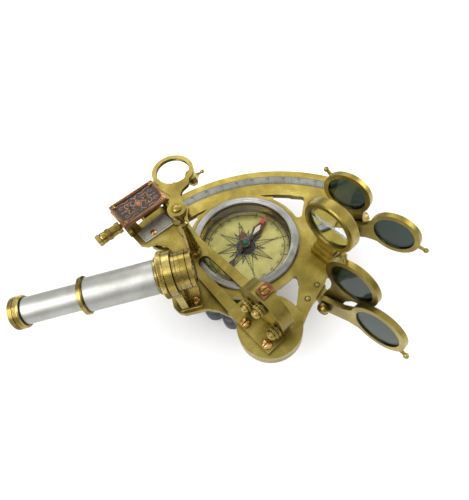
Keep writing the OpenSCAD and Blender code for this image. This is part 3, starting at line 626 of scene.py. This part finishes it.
def scrolls(b, z0, z1, wide, tall, m=Matrix()):
    """A small symmetric panel ornament of scrolls, a lozenge and dots; wide and tall are half sizes."""
    for sx in (-1, 1):
        x = sx * wide
        b.plate(circle(0.7, 12, cx=0.93 * x), z0, z1, m)
        for sy in (-1, 1):
            y = sy * tall
            b.line(spiral(0.52 * x, 0.42 * y, 0.36 * tall, 1.2, math.pi if sx > 0 else 0, sx * sy),
                   0.5, z0, z1, m)
            b.line([(0.16 * x, 0), (0.4 * x, 0.16 * y), (0.86 * x, 0)], 0.5, z0, z1, m)
            b.line([(x * (0.3 + 0.66 * k / 8), y * (0.92 - 0.1 * math.sin(math.pi * k / 4)))
                    for k in range(9)], 0.4, z0, z1, m)
            b.line(spiral(0.84 * x, 0.52 * y, 0.22 * tall, 1.0, 0, -sx * sy, 16), 0.42, z0, z1, m)
            for k in range(3):
                b.plate(circle(0.42, 10, cx=x * (0.24 + 0.1 * k), cy=0.56 * y), z0, z1, m)
    b.plate([(-1.9, 0), (0, -2.6), (1.9, 0), (0, 2.6)], z0, z1, m)
    b.line([(-3, 0), (0, -4), (3, 0), (0, 4)], 0.45, z0, z1, m, loop=True)
    for sy in (-1, 1):
        y = sy * tall
        b.plate(circle(0.6, 12, cy=sy * 5.4), z0, z1, m)
        b.line([(-2.4, 0.86 * y), (0, 0.7 * y), (2.4, 0.86 * y)], 0.45, z0, z1, m)


scrolls(field, PLATE_TOP + 1.4, PLATE_TOP + 1.7, 14.5, 8.6, move(-5.8, 128.3, 0))


def rope(b, x0, y0, x1, y1, z, r, pitch, m=Matrix()):
    """Two strands wound around each other along a rectangle."""
    corners = [(x0, y0), (x1, y0), (x1, y1), (x0, y1)]
    run = []
    for (ax, ay), (bx, by) in zip(corners, corners[1:] + corners[:1]):
        steps = max(2, round(math.hypot(bx - ax, by - ay) / (pitch / 8)))
        run += [(ax + (bx - ax) * i / steps, ay + (by - ay) * i / steps, (bx - ax, by - ay))
                for i in range(steps)]
    turns = round(len(run) / 8)
    for phase in (0, math.pi):
        path = []
        for i, (x, y, (dx, dy)) in enumerate(run):
            t = 2 * math.pi * turns * i / len(run) + phase
            d = math.hypot(dx, dy)
            path.append((x - dy / d * r * math.cos(t), y + dx / d * r * math.cos(t), z + r * math.sin(t)))
        b.tube(path, r * 1.05, m, 6, loop=True)


rope(field, -23.3, 117.4, 11.7, 139.2, PLATE_TOP + 2.0, 0.5, 2.6)
field.finish("plate_panel", "index_arm", "copper", frame_of=MICRO)

# ---- knurled edges and turned lines ----

edges = Build("polished")
edges.knurl(14.4, 0.7, 3.0, sight(-55.2), 96)
edges.finish("flange_knurl", "frame", "brass")

eye = Build("polished", "ink")
eye.knurl(9.9, 1.0, 3.4, sight(EYEPIECE_X), 60, 0.10, 0.28)
eye.knurl(9.9, 4.0, 6.4, sight(EYEPIECE_X), 60, -0.10, 0.28)
eye.hand = 1
eye.lathe([(8.25, 7.02), (8.42, 7.02), (8.42, 7.7), (8.25, 7.7)], sight(EYEPIECE_X))
eye.finish("eyepiece_knurl", "draw_tube", "brass")

sleeve = Build("polished")
sleeve.lathe([(10.4, 0), (11.5, 0), (11.7, 0.3), (11.7, 1.9), (11.3, 2.1), (11.3, 2.5), (11.7, 2.7),
              (11.7, 4.4), (11.5, 4.8), (11.5, 6), (10.4, 6)], sight(-46.9))
sleeve.lathe([(10.4, 0), (11.2, 0), (11.4, 0.3), (11.4, 1.2), (10.4, 1.4)], sight(-57.2))
sleeve.finish("front_sleeve", "frame", "brass")

bands = Build("ink")
for x in (-99.45, -57.6):
    bands.lathe([(10.45, 0), (10.62, 0), (10.62, 0.55), (10.45, 0.55)], sight(x))
bands.finish("tube_lines", "frame", "brass")

serrated = Build("polished")
serrated.knurl(7.2, 0.2, 2.6, MICRO @ move(0, CLAMP_AT, -11.2) @ UNDER, 28, 0.0, 0.4)
serrated.finish("clamp_knurl", "clamp_screw", "brass")

for name, a, z in (("top", 3.4, 29.5), ("near", -8, 17), ("far", 14.5, 18)):
    thumb = Build("polished")
    axis = ARM @ move(-0.65, a, z) @ turn(-90, "Y")
    thumb.knurl(3.9, 0.8, 2.1, axis, 26, 0.0, 0.25)
    thumb.knurl(3.9, 2.7, 4.0, axis, 26, 0.0, 0.25)
    thumb.finish("adjuster_knurl_" + name, "mirror_adjuster_" + name, "brass")

glint = Build("polished")
for r, z in ((16.0, 4.1), (15.6, 1.6), (17.9, 7.52)):
    glint.hoop(r, z, 0.28, HORIZON, 128)
glint.finish("horizon_retainers", "frame", "brass", smooth=True)

studs = Build("brass", "ink")
for x, y in ((37.6, 20.4), (28.6, 12.8)):
    place = FACE @ move(x, y, 0)
    studs.hand = 0
    studs.lathe([(0, 0.35), (1.1, 0.35), (1.5, 0.15), (1.5, -0.2), (0, -0.2)], place, 24, loop=False)
    # Painted shade: a flat black ring around each stud end stands for the dark hole the stud passes through.
    studs.hand = 1
    studs.lathe([(1.5, -0.1), (2.0, -0.1), (2.0, 0.05), (1.5, 0.05)], place, 24)
studs.finish("stud_ends", "frame", "brass", smooth=True)

CAP_TOP = 7.85
leaf = [(0, 1.6), (1.5, 3.6), (1.2, 5.6), (0, 7.4), (-1.2, 5.6), (-1.5, 3.6)]
rosette = Build("copper")
for i in range(8):
    rosette.plate(leaf, CAP_TOP, CAP_TOP + 0.3, turn(45 * i), 0.12)
    rosette.plate(circle(0.5, 10, cy=7.6), CAP_TOP, CAP_TOP + 0.25, turn(22.5 + 45 * i))
rosette.plate(circle(1.3, 20), CAP_TOP, CAP_TOP + 0.45, chamfer=0.2)
rosette.finish("cap_rosette", "frame", "copper", frame_of=FACE @ UNDER)

# ---- the moulded grip and its plate ----

GRIP_LONG = 34
GRIP_DEEP = 12.5
GRIP_ROUND = 1.6
FINGER_LOBES = (-24, -8, 8, 24)
FINGER_GAPS = (-16, 0, 16)
RIB_PITCH = 1.9


def arc_at(x, cx, cy, r, sign):
    """The height of a circle over x, or None beside it."""
    return cy + sign * math.sqrt(r * r - (x - cx) ** 2) if abs(x - cx) < r else None


def grip_top(x):
    y = GRIP_DEEP
    for c in FINGER_LOBES:
        y = max(y, arc_at(x, c, 11, 7, 1) or y)
    for c in FINGER_GAPS:
        y = min(y, arc_at(x, c, 18.5, 3.6, -1) or y)
    for c in FINGER_GAPS + (-29.5, 29.5):
        y += 1.1 * math.exp(-((x - c) / 0.75) ** 2)
    return y


def grip_bottom(x):
    y = -GRIP_DEEP
    for c in (-14, 20):
        y = min(y, arc_at(x, c, -6, 10.5, -1) or y)
    for c in (-33, 3):
        y = max(y, arc_at(x, c, -17.5, 6, 1) or y)
    return y


def squared(v, power=0.42):
    """Fattens a sine towards a rounded square."""
    return math.copysign(abs(v) ** power, v)


def grip_section(x, sides=40):
    """One slice across the grip, with rounded ends and fine ribs beside the finger lobes."""
    end = min(1.0, (GRIP_LONG - abs(x)) / GRIP_ROUND)
    shrink = math.sqrt(max(0.0, 1 - (1 - end) ** 2)) * GRIP_ROUND - GRIP_ROUND
    y0, y1 = grip_bottom(x) - shrink, grip_top(x) + shrink
    ribs = 0.35 * max(0.0, math.sin(x * 2 * math.pi / RIB_PITCH)) if x < -20 or x > 27 else 0.0
    half = (GRIP_FRONT - GRIP_BACK) / 2
    angles = [2 * math.pi * (k + 0.5) / sides for k in range(sides)]
    return [Vector((x, (y0 + y1) / 2 + squared(math.cos(t)) * ((y1 - y0) / 2 - ribs),
                    half + squared(math.sin(t)) * (half + 0.6 * (shrink - ribs)))) for t in angles]


stations = 170
handle = Build("grip")
skin = handle.quads([grip_section(GRIP_LONG * (2 * i / stations - 1)) for i in range(stations + 1)])
handle.cap(skin[0], True)
handle.cap(skin[-1])
handle = handle.finish("grip_moulding", "frame", "black_grip", smooth=True, frame_of=grip(GRIP_BACK))
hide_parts("handle_grip")


def sector(r, half, n=28):
    """An arc of radius r about the plate's own centre of curvature, half degrees to each side."""
    angles = [math.radians(half * (2 * i / n - 1)) for i in range(n + 1)]
    return [(r * math.sin(a), r * math.cos(a) - 85) for a in angles]


def plate_shape(inner, outer, half):
    return sector(outer, half) + sector(inner, half)[::-1]


label = Build("black", "copper", "warm")
label.plate(plate_shape(76.8, 94.2, 12.9), 0.35, 1.0)
label.hand = 1
label.line(plate_shape(76.9, 94.1, 12.7), 1.7, 0.05, 0.95, loop=True)
label.line(plate_shape(79.1, 91.9, 11.4), 0.4, 0.15, 0.5, loop=True)
scrolls(label, 0.15, 0.5, 12.2, 5.2, move(0, 0.6, 0))
label.hand = 2
rivet = [(0, 0.02), (1.0, 0.08), (1.5, 0.35), (1.5, 0.6), (0, 0.6)]
for x in (-15, 15):
    label.lathe(rivet, move(x, 0, 0), 24, loop=False)
label = label.finish("grip_label", "frame", "copper", frame_of=grip(GRIP_PLATE_BACK))
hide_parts("handle_plate")

# ---- stage, light, camera ----

def stage():
    mesh = bpy.data.meshes.new("floor")
    size = 3.0
    corners = [(-size, -size, 0), (size, -size, 0), (size, size, 0), (-size, size, 0)]
    mesh.from_pydata(corners, [], [(0, 1, 2, 3)])
    floor = bpy.data.objects.new("floor", mesh)
    bpy.context.scene.collection.objects.link(floor)
    s = Shader("pale_floor")
    s.bsdf.inputs["Base Color"].default_value = (0.86, 0.86, 0.86, 1.0)
    s.bsdf.inputs["Roughness"].default_value = 0.75
    s.bsdf.inputs["Specular IOR Level"].default_value = 0.15
    mesh.materials.append(s.mat)
    floor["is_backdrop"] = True


def area_light(name, place, aim, size, power, tint=(1.0, 1.0, 1.0)):
    data = bpy.data.lights.new(name, "AREA")
    data.shape = "RECTANGLE"
    data.size, data.size_y = size
    data.energy = power
    data.color = tint
    obj = bpy.data.objects.new(name, data)
    obj.location = place
    obj.rotation_euler = (Vector(aim) - Vector(place)).to_track_quat("-Z", "Y").to_euler()
    bpy.context.scene.collection.objects.link(obj)


stage()
world = bpy.data.worlds.new("studio")
bpy.context.scene.world = world
world.use_nodes = True
sky = world.node_tree
ray = sky.nodes.new("ShaderNodeTexCoord")
height = sky.nodes.new("ShaderNodeSeparateXYZ")
fade = sky.nodes.new("ShaderNodeValToRGB")
for stop, level in zip(fade.color_ramp.elements, (0.5, 1.1)):
    stop.color = (level, level, level, 1.0)
sky.links.new(ray.outputs["Generated"], height.inputs[0])
sky.links.new(height.outputs["Z"], fade.inputs[0])
sky.links.new(fade.outputs[0], sky.nodes["Background"].inputs[0])
sky.nodes["Background"].inputs[1].default_value = 1.0
area_light("key", (-0.55, -0.25, 0.75), (0, 0, 0.04), (0.7, 0.7), 7.0)
area_light("back", (0.1, 0.85, 0.75), (0, 0, 0.04), (1.0, 0.5), 3.5)
area_light("side", (0.75, 0.1, 0.4), (0, 0, 0.05), (0.4, 0.5), 3.5)

camera_data = bpy.data.cameras.new("camera")
camera_data.lens = 27.65
camera_data.sensor_width = 36.0
camera_data.sensor_fit = "AUTO"
camera_data.shift_x = -0.0149
camera_data.clip_start = 0.005
camera = bpy.data.objects.new("camera", camera_data)
forward = Vector((0.0287, 0.5200, -0.8537)).normalized()
up = Vector((0.2528, 0.8225, 0.5094))
right = forward.cross(up).normalized()
eye_at = MM * (PIVOT + Vector((-11.54, -80.38, 231.83)))
up = right.cross(forward).normalized()
camera.matrix_world = Matrix((
    (right.x, up.x, -forward.x, eye_at.x),
    (right.y, up.y, -forward.y, eye_at.y),
    (right.z, up.z, -forward.z, eye_at.z),
    (0, 0, 0, 1)))
bpy.context.scene.collection.objects.link(camera)
bpy.context.scene.camera = camera
bpy.context.scene.view_settings.view_transform = "Standard"

low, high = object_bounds()
